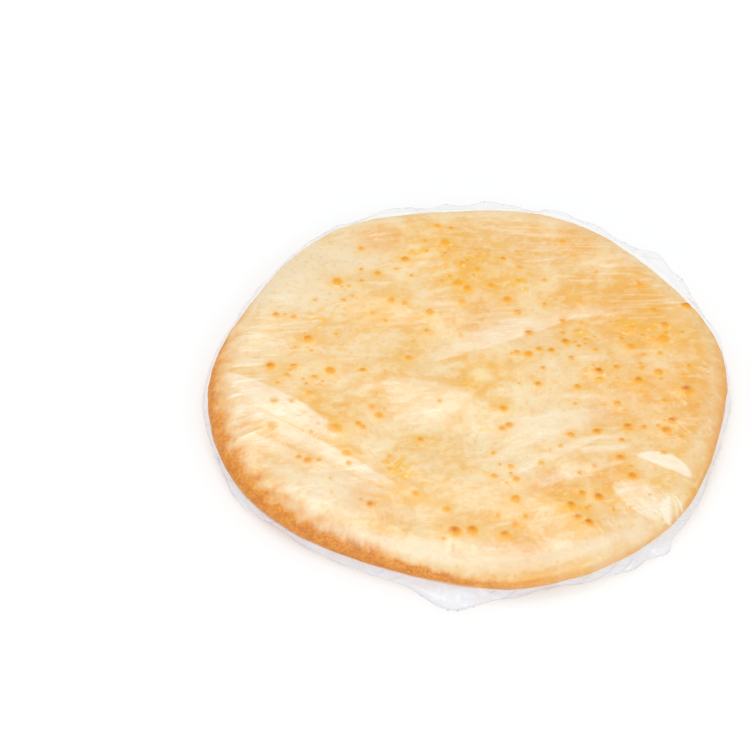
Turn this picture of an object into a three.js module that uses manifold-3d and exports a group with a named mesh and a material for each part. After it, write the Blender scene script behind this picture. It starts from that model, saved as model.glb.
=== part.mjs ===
import * as THREE from "three";
import { mergeVertices } from "three/addons/utils/BufferGeometryUtils.js";
import Module from "manifold-3d";

// A khachapuri: a round, flat, filled cheese bread, baked pale, in its clear bag.
// Millimetres, +Z up. The origin is the middle of the face that it rests on.

// Bread
const breadRadius = 117.5;
const breadTop = 16.4;
const topFall = 1.5; // how much lower the top lies near its edge
const sideHeight = 7.2; // height of the widest line
const shoulderWidth = 15; // how far in from the edge the top rounds off
const underTuck = 7; // how far in from the edge the underside rounds off
const breadGap = 0.3; // between the film and the bread's underside

// The edge isn't a true circle: waves round it, height in mm, turn in degrees.
const edgeWaves = [
  [2, 1.9, 102],
  [3, 1.4, -136],
  [4, 1.6, 112],
  [5, 1.0, -24],
  [6, 0.9, 59],
  [7, 1.1, 135],
];

// Slow rises and dips of the top: height in mm, length in mm, heading in degrees, shift in radians.
const swells = [
  [0.55, 92, 20, 0.4],
  [0.4, 63, 104, 1.9],
  [0.3, 44, 66, 4.1],
  [0.22, 35, 151, 2.3],
];

// The largest blisters of cheese and dough, by place: x, y, width, rise.
const largeBlisters = [
  [-6, -95, 6.2, 1.7],
  [1.5, -93.5, 5.4, 1.4],
  [15.5, -94.5, 4.2, 1.2],
  [20, -75.5, 4.6, 1.1],
  [44, -77.5, 4.2, 1.2],
  [46.5, -84, 4, 1.2],
  [51.5, -86.5, 4.4, 1.4],
  [56, -71.5, 4.8, 1.4],
  [71, -58, 4.6, 1.2],
  [66, -48, 4, 0.9],
  [56, -32.5, 4.4, 1.2],
  [70, -28, 4.8, 1.3],
  [90, -22.5, 4.8, 1.5],
  [87, -28.5, 4.8, 1.1],
  [97, -3, 5.8, 1.8],
  [65.5, -14, 3.6, 1],
  [75.5, 1, 4.4, 1.1],
  [84.5, 7, 4.4, 1],
  [57.5, 5, 4.2, 1.3],
  [87.5, 28, 5.8, 1.2],
  [88.5, 37.5, 4.4, 1.1],
  [73, 34.5, 4.2, 1.1],
  [72.5, 22.5, 4.2, 1],
  [42.5, 23.5, 4.2, 0.9],
  [25.5, 27, 4, 1.1],
  [20.5, 40.5, 3.8, 1],
  [-20, 37, 4.2, 1.2],
  [-32.5, 72.5, 4.4, 1.1],
  [-14, 85.5, 4.6, 0.9],
  [-60, -40, 6.2, 1],
  [-54.5, -54, 4, 1],
  [-42.5, -84, 4.2, 1.2],
];

// A nodule of dough that stands proud on the shoulder: heading in degrees, width, rise.
const edgeNodule = { heading: 28, inset: 4.5, width: 5.4, rise: 2 };

// Small blisters, spread by a steady draw, closer together towards +X.
const smallBlisters = {
  seed: 20,
  count: 74,
  reach: 101,
  leastWidth: 2.2,
  mostWidth: 3.6,
  riseByWidth: 0.27,
  leastSpacing: 6,
  chanceLeft: 0.35,
  chanceRight: 1,
};

// Bag film under the bread, with a loose, crinkled brim round it
const filmThickness = 0.5;
const filmInset = 9; // inside this, measured from the bread's edge, the film lies flat
const brimClear = 0.9; // how far out from the bread's edge the brim turns up
const brimReach = 1;
const brimRise = 0.6;
const brimCurl = 1.3; // over 1, the brim turns up more and more towards its lip
const leastWidth = 1; // where the brim is tucked in under the bread, it keeps this width

// Where the brim is looser, or tucked in: heading, half width in degrees, reach, rise in mm.
const brimLobes = [
  [42, 15, 6.1, 6.7],
  [67, 10, 1, 1.1],
  [95, 40, 5.7, 6.2],
  [19, 5, 1.4, 1.4],
  [155, 11, 1.9, 2],
  [-144, 8, 5.8, 1.6],
  [-142, 19, -6.1, -1.7],
  [-93, 7, 11.4, 2.9],
  [-73, 9, -4.8, -1.2],
  [-54, 4, 3, 0.8],
  [-46, 3, 6, 1.9],
  [-19, 10, -2.3, -0.8],
];

// Crinkles of the brim: waves round it, height in mm, shift in radians.
const crinkles = [
  [17, 0.8, 0.7],
  [29, 0.7, 2.6],
  [43, 0.45, 4.4],
];
const crinkleReach = 0.6; // how far a crinkle moves the lip out for each mm that it lifts it
const looseReach = 5; // from this reach on, the brim has its full crinkles

// How finely the faces are split
const breadSegments = 84;
const underRings = 2;
const tuckRings = 4;
const shoulderRings = 7;
const topRings = 10;
const filmSegments = 140;
const brimRings = 3;
const largeDome = { sides: 8, bands: 6 };
const smallDome = { sides: 6, bands: 4 };

const fullTurn = 2 * Math.PI;
const quarterTurn = Math.PI / 2;

function radians(degrees) {
  return (degrees * Math.PI) / 180;
}

// A steady random draw between 0 and 1, the same on each run.
function makeDraw(seed) {
  let state = seed;
  return () => {
    state = (state * 1664525 + 1013904223) % 4294967296;
    return state / 4294967296;
  };
}

function breadEdge(angle) {
  let radius = breadRadius;
  for (const [waves, height, turn] of edgeWaves) {
    radius += height * Math.cos(waves * angle - radians(turn));
  }
  return radius;
}

function topHeight(x, y) {
  const outwards = Math.hypot(x, y) / breadRadius;
  let height = breadTop - topFall * outwards ** 3;
  for (const [rise, length, heading, shift] of swells) {
    const along = x * Math.cos(radians(heading)) + y * Math.sin(radians(heading));
    height += rise * Math.sin((fullTurn * along) / length + shift);
  }
  return height;
}

// Height of the rounded shoulder, where turn goes from 0 at the side to a quarter at the top.
function shoulderHeight(x, y, turn) {
  return sideHeight + (topHeight(x, y) - sideHeight) * Math.sin(turn);
}

// Closes rings of points round the Z axis into one body, from a first to a last middle point.
function closeRings(rings, segments, first, last) {
  const points = [first, ...rings.flat(), last];
  const faces = [];
  const lastIndex = points.length - 1;
  for (let ring = 0; ring < rings.length - 1; ring += 1) {
    for (let step = 0; step < segments; step += 1) {
      const next = (step + 1) % segments;
      const here = 1 + ring * segments;
      const above = here + segments;
      faces.push(here + step, here + next, above + next);
      faces.push(here + step, above + next, above + step);
    }
  }
  const lastRing = lastIndex - segments;
  for (let step = 0; step < segments; step += 1) {
    const next = (step + 1) % segments;
    faces.push(0, 1 + next, 1 + step);
    faces.push(lastIndex, lastRing + step, lastRing + next);
  }
  const geometry = new THREE.BufferGeometry();
  geometry.setAttribute("position", new THREE.Float32BufferAttribute(points.flat(), 3));
  geometry.setIndex(faces);
  return geometry;
}

// One ring of points round the Z axis, from its radius and its height at each angle.
function makeRing(segments, radiusAt, heightAt) {
  const ring = [];
  for (let step = 0; step < segments; step += 1) {
    const angle = (fullTurn * step) / segments;
    const radius = radiusAt(angle);
    const x = radius * Math.cos(angle);
    const y = radius * Math.sin(angle);
    ring.push([x, y, heightAt(x, y, angle)]);
  }
  return ring;
}

// The plain loaf: flat underside, tucked edge, rounded shoulder and swelling top.
function makeLoaf() {
  const under = filmThickness + breadGap;
  const rings = [];
  for (let step = 1; step <= underRings; step += 1) {
    const share = step / underRings;
    const radiusAt = (angle) => share * (breadEdge(angle) - underTuck);
    rings.push(makeRing(breadSegments, radiusAt, () => under));
  }
  for (let step = 1; step <= tuckRings; step += 1) {
    const turn = (quarterTurn * step) / tuckRings;
    const height = under + (sideHeight - under) * (1 - Math.cos(turn));
    const radiusAt = (angle) => breadEdge(angle) - underTuck * (1 - Math.sin(turn));
    rings.push(makeRing(breadSegments, radiusAt, () => height));
  }
  for (let step = 1; step <= shoulderRings; step += 1) {
    const turn = (quarterTurn * step) / shoulderRings;
    const radiusAt = (angle) => breadEdge(angle) - shoulderWidth * (1 - Math.cos(turn));
    rings.push(makeRing(breadSegments, radiusAt, (x, y) => shoulderHeight(x, y, turn)));
  }
  for (let step = topRings - 1; step >= 1; step -= 1) {
    const share = step / topRings;
    const radiusAt = (angle) => share * (breadEdge(angle) - shoulderWidth);
    rings.push(makeRing(breadSegments, radiusAt, topHeight));
  }
  return closeRings(rings, breadSegments, [0, 0, under], [0, 0, topHeight(0, 0)]);
}

// A low dome, half sunk in the surface at height z, with its own turn.
function makeBlister([x, y, width, rise], z, { sides, bands }) {
  const dome = new THREE.SphereGeometry(1, sides, bands);
  dome.rotateX(quarterTurn);
  dome.scale(width / 2, width / 2, rise);
  dome.rotateZ(x + y);
  dome.translate(x, y, z);
  return dome;
}

function spreadSmallBlisters(taken) {
  const { seed, count, reach, leastWidth, mostWidth, riseByWidth } = smallBlisters;
  const { leastSpacing, chanceLeft, chanceRight } = smallBlisters;
  const draw = makeDraw(seed);
  const spread = [];
  while (spread.length < count) {
    const radius = reach * Math.sqrt(draw());
    const angle = fullTurn * draw();
    const width = leastWidth + (mostWidth - leastWidth) * draw() ** 2;
    const chance = draw();
    const x = radius * Math.cos(angle);
    const y = radius * Math.sin(angle);
    const rightwards = 0.5 + 0.5 * (x / reach);
    const wanted = chance < chanceLeft + (chanceRight - chanceLeft) * rightwards;
    const clear = [...taken, ...spread].every(
      (other) => Math.hypot(other[0] - x, other[1] - y) > leastSpacing,
    );
    if (wanted && clear) {
      spread.push([x, y, width, width * riseByWidth]);
    }
  }
  return spread;
}

const wasm = await Module();
wasm.setup();

function toSolid(geometry) {
  const bare = geometry.clone();
  bare.deleteAttribute("normal");
  bare.deleteAttribute("uv");
  const merged = mergeVertices(bare, 1e-4);
  return new wasm.Manifold(
    new wasm.Mesh({
      numProp: 3,
      vertProperties: new Float32Array(merged.attributes.position.array),
      triVerts: new Uint32Array(merged.index.array),
    }),
  );
}

function toGeometry(solid) {
  const { vertProperties, triVerts } = solid.getMesh();
  const geometry = new THREE.BufferGeometry();
  geometry.setAttribute("position", new THREE.BufferAttribute(vertProperties, 3));
  geometry.setIndex(new THREE.BufferAttribute(triVerts, 1));
  geometry.computeVertexNormals();
  return geometry;
}

function makeNodule() {
  const { heading, inset, width, rise } = edgeNodule;
  const angle = radians(heading);
  const out = breadEdge(angle) - inset;
  const turn = Math.acos(1 - inset / shoulderWidth);
  const x = out * Math.cos(angle);
  const y = out * Math.sin(angle);
  return makeBlister([x, y, width, rise], shoulderHeight(x, y, turn), largeDome);
}

function makeBread() {
  let solid = toSolid(makeLoaf()).add(toSolid(makeNodule()));
  for (const blister of largeBlisters) {
    const [x, y] = blister;
    solid = solid.add(toSolid(makeBlister(blister, topHeight(x, y), largeDome)));
  }
  for (const blister of spreadSmallBlisters(largeBlisters)) {
    const [x, y] = blister;
    solid = solid.add(toSolid(makeBlister(blister, topHeight(x, y), smallDome)));
  }
  return toGeometry(solid);
}

// How much of a lobe the brim has at this angle, from 0 to 1.
function lobeShare(angle, heading, halfWidth) {
  const turn = angle - radians(heading);
  const apart = Math.atan2(Math.sin(turn), Math.cos(turn));
  return Math.exp(-((apart / radians(halfWidth)) ** 2));
}

// A wave with straight flanks and sharp crests.
function zigzag(angle) {
  return (2 / Math.PI) * Math.asin(Math.sin(angle));
}

function brimAt(angle) {
  let reach = brimReach;
  let rise = brimRise;
  for (const [heading, halfWidth, lobeReach, lobeRise] of brimLobes) {
    const share = lobeShare(angle, heading, halfWidth);
    reach += lobeReach * share;
    rise += lobeRise * share;
  }
  let crinkle = 0;
  for (const [waves, height, shift] of crinkles) {
    crinkle += height * zigzag(waves * angle + shift);
  }
  crinkle *= Math.min(Math.max(reach / looseReach, 0.2), 1);
  reach += crinkleReach * crinkle;
  return {
    start: breadEdge(angle) + brimClear + Math.min(reach - leastWidth, 0),
    width: Math.max(reach, leastWidth),
    rise: Math.max(rise + crinkle, 0),
  };
}

// The film is one thin body: a lower face from the middle to the lip, and an upper face back.
function makeFilm() {
  const lower = [makeRing(filmSegments, (angle) => breadEdge(angle) - filmInset, () => 0)];
  for (let step = 0; step <= brimRings; step += 1) {
    const share = step / brimRings;
    const radiusAt = (angle) => brimAt(angle).start + share * brimAt(angle).width;
    const heightAt = (x, y, angle) => brimAt(angle).rise * share ** brimCurl;
    lower.push(makeRing(filmSegments, radiusAt, heightAt));
  }
  const upper = lower.map((ring) => ring.map(([x, y, z]) => [x, y, z + filmThickness]));
  const rings = [...lower, ...upper.reverse()];
  const geometry = closeRings(rings, filmSegments, [0, 0, 0], [0, 0, filmThickness]);
  geometry.computeVertexNormals();
  return geometry;
}

const khachapuri = new THREE.Group();

const bread = new THREE.Mesh(
  makeBread(),
  new THREE.MeshStandardMaterial({ color: 0xf2d3a2, roughness: 0.7, metalness: 0 }),
);
bread.name = "bread";
khachapuri.add(bread);

const film = new THREE.Mesh(
  makeFilm(),
  new THREE.MeshStandardMaterial({
    color: 0xeef0f5,
    roughness: 0.2,
    metalness: 0,
    transparent: true,
    opacity: 0.35,
  }),
);
film.name = "film";
khachapuri.add(film);

export default khachapuri;
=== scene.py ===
import math

import bmesh
import bpy
import numpy as np
from mathutils import Color, Matrix, Vector, noise


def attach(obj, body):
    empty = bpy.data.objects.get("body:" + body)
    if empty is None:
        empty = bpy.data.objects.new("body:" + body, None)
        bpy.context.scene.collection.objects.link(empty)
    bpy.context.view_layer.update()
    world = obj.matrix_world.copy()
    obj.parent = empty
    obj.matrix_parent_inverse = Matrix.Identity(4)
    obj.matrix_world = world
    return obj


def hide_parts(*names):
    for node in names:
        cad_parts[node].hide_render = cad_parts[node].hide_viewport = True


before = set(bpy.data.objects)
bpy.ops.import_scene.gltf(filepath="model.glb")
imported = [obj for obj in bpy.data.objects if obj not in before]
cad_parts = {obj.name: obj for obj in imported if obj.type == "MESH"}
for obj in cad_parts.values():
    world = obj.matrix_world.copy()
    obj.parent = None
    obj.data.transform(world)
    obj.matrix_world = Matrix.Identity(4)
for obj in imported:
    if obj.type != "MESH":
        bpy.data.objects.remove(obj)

# A khachapuri in its clear film. Shapes are worked out in mm and go into Blender in metres.
# In the settings, an edge is a pair of values where something starts to show and where it shows
# fully, limits are a lowest and a highest value, and ripples are length, seed, waves and height.
mm = 0.001
fullTurn = 2 * math.pi
quarterTurn = math.pi / 2
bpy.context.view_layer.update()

# Camera: a long lens, looking down on the bread, which lies right of the picture's middle
camera = {
    "lens": 133.5,
    "sensor": 36,
    "nearest": 0.05,  # in metres, as is the furthest
    "furthest": 30,
    "elevation": 45.5,
    "roll": 3.1,
    "distance": 1262.9,
    "aimHeight": 7.0,
    "aimAcross": -43.5,
    "aimUp": 5.4,
}


def wayOf(heading):
    return math.cos(math.radians(heading)), math.sin(math.radians(heading))


def makeCamera():
    level, lift = wayOf(camera["elevation"])
    back = Vector((0, -level, lift))
    across = Vector((1, 0, 0))
    up = back.cross(across)
    rollAcross, rollUp = wayOf(camera["roll"])
    right = across * rollAcross + up * rollUp
    top = up * rollAcross - across * rollUp
    aim = Vector((0, 0, camera["aimHeight"])) + right * camera["aimAcross"] + top * camera["aimUp"]
    data = bpy.data.cameras.new("camera")
    data.lens = camera["lens"]
    data.sensor_width = camera["sensor"]
    data.clip_start = camera["nearest"]
    data.clip_end = camera["furthest"]
    eye = bpy.data.objects.new("camera", data)
    bpy.context.scene.collection.objects.link(eye)
    turn = Matrix((right, top, back)).transposed().to_4x4()
    eye.matrix_world = Matrix.Translation((aim + back * camera["distance"]) * mm) @ turn
    bpy.context.scene.camera = eye


makeCamera()
print("camera set")


# Helpers for the shapes
drawRule = {"factor": 1664525, "step": 1013904223, "span": 2**32}  # the same draws in each run


def makeDraw(seed):
    state = seed

    def draw():
        nonlocal state
        state = (state * drawRule["factor"] + drawRule["step"]) % drawRule["span"]
        return state / drawRule["span"]

    return draw


def softStep(low, high, value):
    share = np.clip((value - low) / (high - low), 0, 1)
    return share * share * (3 - 2 * share)


def between(limits, share):
    return limits[0] + (limits[1] - limits[0]) * share


def hill(away):
    # 1 in the middle, and nearly 0 from 2 on
    return np.exp(-(away**2))


def turnApart(angle, heading):
    turn = angle - np.radians(heading)
    return np.arctan2(np.sin(turn), np.cos(turn))


def lobe(angle, heading, halfWidth):
    return hill(turnApart(angle, heading) / np.radians(halfWidth))


def alongAndAcross(x, y, wayX, wayY):
    return x * wayX + y * wayY, y * wayX - x * wayY


rippleLifts = (-0.6, 0.6)
rippleSizes = (0.7, 1.5)


def ripples(points, length, seed, waves=16, height=1):
    # slow or fine unevenness as high as height, from sines that run in all directions
    draw = makeDraw(seed)
    total = np.zeros(len(points))
    for _ in range(waves):
        heading = fullTurn * draw()
        lift = between(rippleLifts, draw())
        size = length * between(rippleSizes, draw())
        shift = fullTurn * draw()
        way = np.array((math.cos(heading), math.sin(heading), lift))
        total += np.sin(fullTurn * (points @ way) / size + shift)
    return height * (total / math.sqrt(waves / 2))


def flatDisc(cells, rings):
    # an even grid pulled into a disc of radius 1, then rings of the same steps, one further out each
    steps = np.linspace(-1, 1, cells + 1)
    a, b = np.meshgrid(steps, steps, indexing="ij")
    sideways = np.abs(a) > np.abs(b)
    radius = np.where(sideways, a, b)
    part = np.where(sideways, b, a) / np.where(radius == 0, 1, radius)
    angle = np.where(sideways, part, 2 - part) * math.pi / 4
    points = [np.stack((radius * np.cos(angle), radius * np.sin(angle)), -1).reshape(-1, 2)]
    index = np.arange((cells + 1) ** 2).reshape(cells + 1, cells + 1)
    quads = np.stack((index[:-1, :-1], index[1:, :-1], index[1:, 1:], index[:-1, 1:]), -1)
    faces = [quads.reshape(-1, 4)]
    rim = np.concatenate((index[-1, :-1], index[:0:-1, -1], index[0, :0:-1], index[:-1, 0]))
    around = np.arange(4 * cells) * fullTurn / (4 * cells) - math.pi / 4
    for ring in range(1, rings + 1):
        points.append((1 + ring) * np.stack((np.cos(around), np.sin(around)), -1))
        outer = np.arange(4 * cells) + (cells + 1) ** 2 + (ring - 1) * 4 * cells
        faces.append(np.stack((rim, outer, np.roll(outer, -1), np.roll(rim, -1)), -1))
        rim = outer
    return np.concatenate(points), np.concatenate(faces)


def ringShares(ring, counts):
    # how far each point is through each set of rings outside the disc, from 0 to 1
    start = 1
    shares = []
    for count in counts.values():
        shares.append(np.clip((ring - start) / count, 0, 1))
        start += count
    return shares


def meshFrom(name, points, faces):
    mesh = bpy.data.meshes.new(name)
    mesh.from_pydata(np.asarray(points).tolist(), [], np.asarray(faces).tolist())
    mesh.update()
    return mesh


def readVectors(rows, name):
    flat = np.empty(len(rows) * 3, np.float32)
    rows.foreach_get(name, flat)
    return flat.reshape(-1, 3).astype(float)


def writePoints(mesh, points):
    mesh.vertices.foreach_set("co", np.asarray(points, np.float32).ravel())
    mesh.update()


def writeMasks(mesh, masks):
    for name, values in masks.items():
        mask = mesh.attributes.new(name, "FLOAT", "POINT")
        mask.data.foreach_set("value", np.clip(values, 0, 1).astype(np.float32))


def closeMiddle(mesh, reach):
    # the points of the last ring meet in the middle of the underside, and become one
    middleSize = 1e-7
    mergeSize = 1e-6
    leastEdge = 1e-8
    work = bmesh.new()
    work.from_mesh(mesh)
    middle = [v for v in work.verts if v.co.z < reach and v.co.xy.length < middleSize]
    bmesh.ops.remove_doubles(work, verts=middle, dist=mergeSize)
    bmesh.ops.dissolve_degenerate(work, dist=leastEdge, edges=work.edges)
    work.to_mesh(mesh)
    work.free()


def showPiece(name, mesh, material):
    mesh.materials.append(material)
    mesh.shade_smooth()
    piece = bpy.data.objects.new(name, mesh)
    bpy.context.scene.collection.objects.link(piece)
    return piece


# Bread, with edge waves as how many, height and turn, and swells as height, length, heading, shift
bread = {
    "radius": 117.5,
    "top": 16.4,
    "topFall": 1.5,
    "sideHeight": 7.2,
    "shoulder": 15.0,
    "tuck": 7.0,
    "under": 0.8,
    "edgeWaves": [
        (2, 1.9, 102),
        (3, 1.4, -136),
        (4, 1.6, 112),
        (5, 1.0, -24),
        (6, 0.9, 59),
        (7, 1.1, 135),
    ],
    "swells": [(0.55, 92, 20, 0.4), (0.4, 63, 104, 1.9), (0.3, 44, 66, 4.1), (0.22, 35, 151, 2.3)],
    "cells": 180,
    "rings": {"shoulder": 20, "tuck": 9, "under": 8},
    "lumps": (15, 31, 16, 0.11),
    "pits": (4, 32, 24, 0.03),
}

# Blisters: place, width, rise, and how brown the cap is
largeBlisters = [
    (-6, -95, 6.2, 1.7, 0.9),
    (1.5, -93.5, 5.4, 1.4, 0.7),
    (15.5, -94.5, 4.2, 1.2, 0.7),
    (20, -75.5, 4.6, 1.1, 0.35),
    (44, -77.5, 4.2, 1.2, 0.65),
    (46.5, -84, 4, 1.2, 0.7),
    (51.5, -86.5, 4.4, 1.4, 0.9),
    (56, -71.5, 4.8, 1.4, 0.75),
    (71, -58, 4.6, 1.2, 0.6),
    (66, -48, 4, 0.9, 0.5),
    (56, -32.5, 4.4, 1.2, 0.5),
    (70, -28, 4.8, 1.3, 0.6),
    (90, -22.5, 4.8, 1.5, 0.95),
    (87, -28.5, 4.8, 1.1, 0.4),
    (97, -3, 5.8, 1.8, 1.0),
    (65.5, -14, 3.6, 1, 0.4),
    (75.5, 1, 4.4, 1.1, 0.7),
    (84.5, 7, 4.4, 1, 0.2),
    (57.5, 5, 4.2, 1.3, 1.0),
    (87.5, 28, 5.8, 1.2, 0.1),
    (88.5, 37.5, 4.4, 1.1, 0.5),
    (73, 34.5, 4.2, 1.1, 0.3),
    (72.5, 22.5, 4.2, 1, 0.4),
    (42.5, 23.5, 4.2, 0.9, 0.6),
    (25.5, 27, 4, 1.1, 0.7),
    (20.5, 40.5, 3.8, 1, 0.4),
    (-20, 37, 4.2, 1.2, 0.35),
    (-32.5, 72.5, 4.4, 1.1, 0.4),
    (-14, 85.5, 4.6, 0.9, 0.1),
    (-60, -40, 6.2, 1, 0.1),
    (-54.5, -54, 4, 1, 0.1),
    (-42.5, -84, 4.2, 1.2, 0.8),
]
edgeNodule = {"heading": 28, "inset": 6.5, "width": 5.4, "rise": 3.4, "brown": 1.0}

# Flat ones between them, too low for the solids
lowBlisters = [
    (-63.5, 55, 5, 0.9, 0.2),
    (-75, 15.5, 4.8, 0.9, 0.5),
    (-91, -2, 4.6, 0.9, 0.6),
    (-64, -4, 5, 0.9, 0.4),
    (-90.5, 30, 3.6, 0.8, 0.6),
    (-82.5, 29.5, 3.2, 0.7, 0.2),
    (-38, 44, 3.8, 0.8, 0.3),
    (-45, 62, 3.4, 0.7, 0.3),
    (-5.5, 71, 3, 0.6, 0.2),
    (8, 57, 3, 0.6, 0.3),
    (15.5, 49, 4.2, 0.8, 0.3),
    (-7.5, 57, 5.4, 0.7, 0.1),
    (-3, 54, 4, 0.7, 0.2),
    (14.3, -22, 3.8, 0.8, 0.3),
    (14, -34.3, 3.6, 0.8, 0.3),
    (16.8, -32.2, 3.8, 0.8, 0.4),
    (25.5, 12.8, 4, 0.8, 0.3),
    (36, 16.5, 3.4, 0.7, 0.5),
    (45, 12, 3.2, 0.7, 0.4),
    (29.8, -5.5, 3.4, 0.7, 0.5),
    (-50, -36, 3.4, 0.7, 0.3),
    (-88, -40, 4, 0.8, 0.3),
    (-71, -59, 4, 0.8, 0.4),
    (-75, -57, 3, 0.6, 0.3),
    (31, -54, 3, 0.6, 0.3),
    (20, -89, 3.4, 0.7, 0.4),
]
smallBlisters = {
    "seed": 20,
    "count": 74,
    "reach": 101,
    "widths": (2.2, 3.6),
    "riseByWidth": 0.27,
    "leastSpacing": 6,
    "chances": (0.35, 1),  # from the left to the right
    "brownest": 0.5,
    "brownStep": 0.618,
}

# The tiniest ones, not among the solids: some anywhere, the rest in clusters
tinyBlisters = {
    "seed": 77,
    "count": 45,
    "reach": 104,
    "widths": (1.2, 2.1),
    "riseByWidth": 0.32,
    "brownest": 0.45,
    "clusters": [  # place, radius, how many
        (56, 4, 5, 5),
        (52, 32, 6, 5),
        (50, 28, 8, 4),
        (72, 30, 7, 6),
        (86, 32, 6, 5),
        (50, -82, 6, 5),
        (58, -74, 6, 4),
        (87, -25, 5, 4),
        (-8, 62, 9, 7),
        (-3, 74, 9, 6),
        (-18, 80, 8, 5),
        (-35, -62, 6, 4),
        (-72, -8, 6, 4),
        (-58, 50, 7, 4),
        (12, -62, 7, 4),
        (66, -52, 5, 3),
    ],
}

# How a blister looks: its reaches in half widths, and its brown cap in widths
blisterLook = {
    "reach": 6,
    "fineReach": (0.5, 0.7),  # finer faces within so many mm and this share of the width
    "fineCuts": 2,
    "outline": (3.0, 33, 16, 0.06),
    "domeRise": 0.75,
    "domeReach": 0.85,
    "domeFall": 3,
    "fullWidth": 4.2,
    "strengths": (0.55, 1),
    "goldEdge": (1.3, 0.6),
    "haloReach": 2.6,
    "haloStrength": 0.9,
    "capPlace": (-0.06, 0.11),
    "capSize": (0.26, 0.27),
    "capEdge": (1.9, 0.1),
    "smoother": 0.6,
}

# Crumbled cheese under the thin crust
cheese = {
    "crumbSize": 2.6,
    "crumbReach": 0.75,
    "crumbRise": 0.28,
    "leastMask": 0.12,
    "gaps": (5.5, 61, 24),
    "gapEdge": (-0.1, 0.7),
    "fullness": 1.4,
    "crumbShare": 1.6,
    "yellow": (0.7, 1.2),
    "paleEdge": (0.35, 0.6),
    "paleSpots": (6, 62),
    "paleSpotEdge": (-0.4, 0.8),
}

# Patches where it shows through: place, radius, and strength where it isn't 1
curdPatches = [
    (-9, 69, 21, 0.85),
    (-26, 78, 9),
    (-5, 55, 9, 0.8),
    (21, 61, 8),
    (51, 30, 7),
    (56, 3, 8),
    (85, 31, 11),
    (73, 36, 8),
    (-71, 30, 9),
    (-54, 21, 13, 0.55),
    (-30, -62, 11),
    (-36, -78, 8),
    (8, -32, 6),
    (66, -70, 8),
    (45, -79, 9),
]

# Soft baked patches on the top: place, radius, strength
tanPatches = [
    (-44, 87, 9, 1.9),
    (33, -65, 8, 2),
    (44, -67, 7, 0.9),
    (-62, 10, 16, 0.4),
    (-20, 60, 12, 0.5),
    (60, -18, 14, 0.9),
    (20, -102, 19, 1.1),
    (72, 46, 36, 0.85),
    (33, 88, 26, 0.75),
    (105, -5, 36, 0.95),
    (78, -6, 32, 0.85),
    (52, -76, 26, 0.6),
    (-100, 10, 18, 0.25),
    (-36, 26, 18, 0.4),
    (4, 38, 24, 0.75),
    (-5, 80, 24, 0.45),
    (50, 96, 18, 1),
    (-40, -80, 16, 0.9),
    (8, -86, 20, 0.55),
    (62, -58, 16, 1.05),
    (-84, -42, 12, 0.6),
    (-28, -24, 14, 0.25),
]

# Pale floury stretches, mostly near the rim: place, radius, strength
palePatches = [
    (-86, 62, 36, 1.1),
    (-104, 10, 24, 0.5),
    (-100, -54, 22, 0.6),
    (-74, -86, 27, 0.8),
    (-20, -112, 20, 0.55),
    (70, -92, 22, 0.5),
    (-64, 74, 22, 0.85),
    (30, 20, 16, 0.65),
    (22, -57, 12, 0.75),
    (-20, -57, 12, 0.6),
    (-40, -60, 14, 0.4),
    (-2, -38, 15, 0.5),
    (35, -30, 26, 0.25),
    (8, 104, 12, 0.3),
    (-20, 2, 12, 0.5),
]

# A shallow ring of a dent near the middle, with a pale bump in it
dent = {
    "place": (3.8, -2),
    "radius": 7.6,
    "width": 2.9,
    "outline": (7, 34, 16, 0.7),
    "depth": 0.35,
    "tan": 0.6,
    "yellow": 0.36,
    "bumpPlace": (3.6, -1.4),
    "bumpRadius": 3.4,
    "bumpRise": 0.6,
    "bumpPale": 0.8,
}

# The side that baked brown: deepest at the front left, faint at the front right, thin at the back, and
# partly painted shade: its right part darkens the right rim, and it deepens towards the lower edge.
# Its parts are a heading and a half width, and its top is in degrees up the shoulder
band = {
    "front": (-116, 44),
    "left": (-158, 44),
    "right": (4, 34),
    "faint": (-58, 26),
    "top": 16,
    "topByFront": 10,
    "topByLeft": 46,
    "topByRight": 22,
    "depths": (0.62, 1),
    "depthByFaint": -0.26,
    "edge": 0.95,
    "softness": 0.45,
    "softnessByLeft": 0.3,
    "ragged": [(9, 41, 16, 0.1), (3.4, 42, 24, 0.05)],
}

# Paler on the shoulder, most of it at the front
paleShoulder = {"lowEdge": (0.2, 1.2), "highEdge": (1.5, 0.9), "front": (-96, 62), "strengths": (0.35, 1)}


def edgeAt(angle):
    radius = np.full_like(angle, bread["radius"])
    for waves, height, turn in bread["edgeWaves"]:
        radius += height * np.cos(waves * angle - math.radians(turn))
    return radius


def topAt(x, y):
    height = bread["top"] - bread["topFall"] * (np.hypot(x, y) / bread["radius"]) ** 3
    for rise, length, heading, shift in bread["swells"]:
        along, _ = alongAndAcross(x, y, *wayOf(heading))
        height = height + rise * np.sin(fullTurn * along / length + shift)
    return height


def onShoulder(angle, turn, grow=0.0):
    # a point of the rounded shoulder, where turn is a quarter at the top and 0 at the side
    edge = edgeAt(angle)
    middle = edge - bread["shoulder"]
    radius = middle + (bread["shoulder"] + grow) * np.cos(turn)
    x = np.minimum(radius, edge) * np.cos(angle)
    y = np.minimum(radius, edge) * np.sin(angle)
    height = bread["sideHeight"] + (topAt(x, y) - bread["sideHeight"] + grow) * np.sin(turn)
    return radius, height


def toPoints(radius, angle, height):
    return np.stack((radius * np.cos(angle), radius * np.sin(angle), height), -1)


def drawPlace(draw, x, y, reach):
    # an even spread over a disc
    radius = reach * math.sqrt(draw())
    angle = fullTurn * draw()
    return x + radius * math.cos(angle), y + radius * math.sin(angle)


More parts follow.
